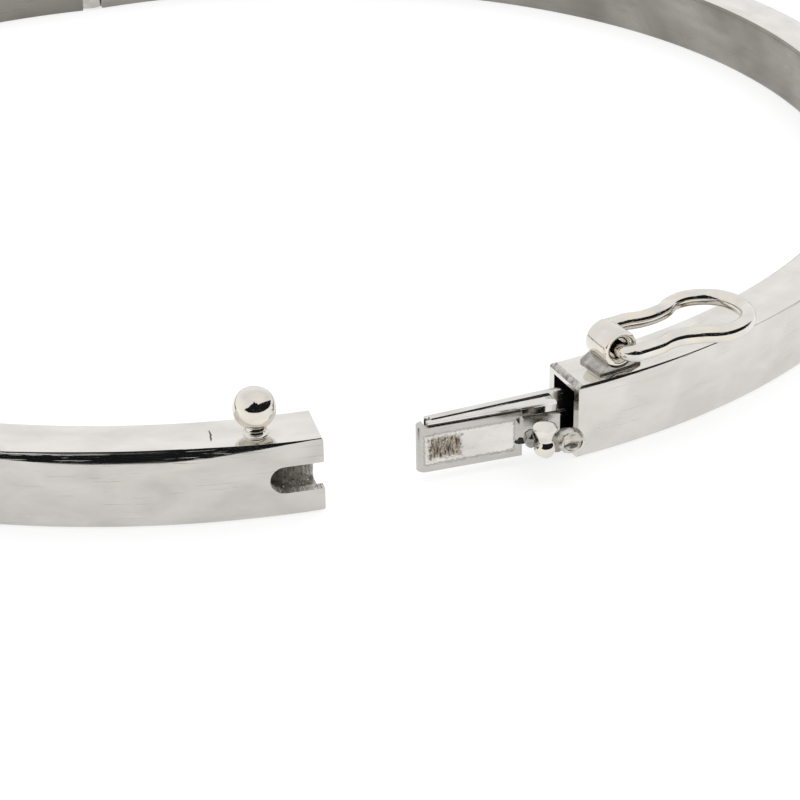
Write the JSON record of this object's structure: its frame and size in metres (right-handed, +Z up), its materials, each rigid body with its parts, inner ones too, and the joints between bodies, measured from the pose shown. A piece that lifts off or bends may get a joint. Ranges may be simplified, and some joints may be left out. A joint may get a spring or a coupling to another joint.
{
  "type": "hinged bangle bracelet",
  "caption": "Hinged bangle of hollow rectangular tube, standing open, with a folded spring tongue, thumb piece, ball post and figure-eight safety catch.",
  "frame": {"origin": "centre of the closed ring, on the plane the ring lies on", "axes": "+Z up along the wrist opening; the clasp is towards -Y and the hinge at +Y; the fixed half is on -X"},
  "size_m": [0.0693, 0.0657, 0.0054],
  "materials": {
    "polished_band": "mirror-polished rhodium-plated white gold with fine scratches",
    "hinge_knuckles": "polished white gold, darker in the joints",
    "tongue_strip": "hard-rolled white gold strip, rubbed by the clasp",
    "thumb_piece": "polished white gold, a little warm where the plating is worn",
    "catch_findings": "polished white gold"
  },
  "bodies": {
    "left_half": {"left_band": "polished_band", "clasp_block": "polished_band", "ball_post": "catch_findings", "catch_ball": "catch_findings", "left_hinge_block": "polished_band", "left_knuckle_top": "hinge_knuckles", "left_knuckle_bottom": "hinge_knuckles", "hinge_pin": "hinge_knuckles", "pin_head_top": "hinge_knuckles", "pin_head_bottom": "hinge_knuckles"},
    "right_half": {"right_band": "polished_band", "tongue_anchor": "tongue_strip", "tongue_rear_leaf": "tongue_strip", "right_hinge_block": "polished_band", "right_knuckle": "hinge_knuckles", "catch_saddle": "catch_findings", "catch_tube": "catch_findings"},
    "spring_leaf": {"tongue_spring_leaf": "tongue_strip", "thumb_post": "thumb_piece", "thumb_bud": "thumb_piece", "thumb_lobe_left": "thumb_piece", "thumb_lobe_right": "thumb_piece"},
    "safety_catch": {"figure_eight": "catch_findings"}
  },
  "joints": [
    {"name": "hinge", "type": "hinge", "parent": "left_half", "child": "right_half", "pos_m": [0, 0.03075, 0], "axis": [0, 0, 1], "range_deg": [-10, 24]},
    {"name": "tongue_spring", "type": "hinge", "parent": "right_half", "child": "spring_leaf", "pos_m": [0.00442, -0.03073, 0.0017], "axis": [0, 0, 1], "range_deg": [0, 4.6], "stiffness_Nm_per_rad": 0.2},
    {"name": "catch_swing", "type": "hinge", "parent": "right_half", "child": "safety_catch", "pos_m": [0.01283, -0.02946, 0.00435], "axis": [0.2428, -0.9701, 0], "range_deg": [-4.9, 184.9]}
  ]
}
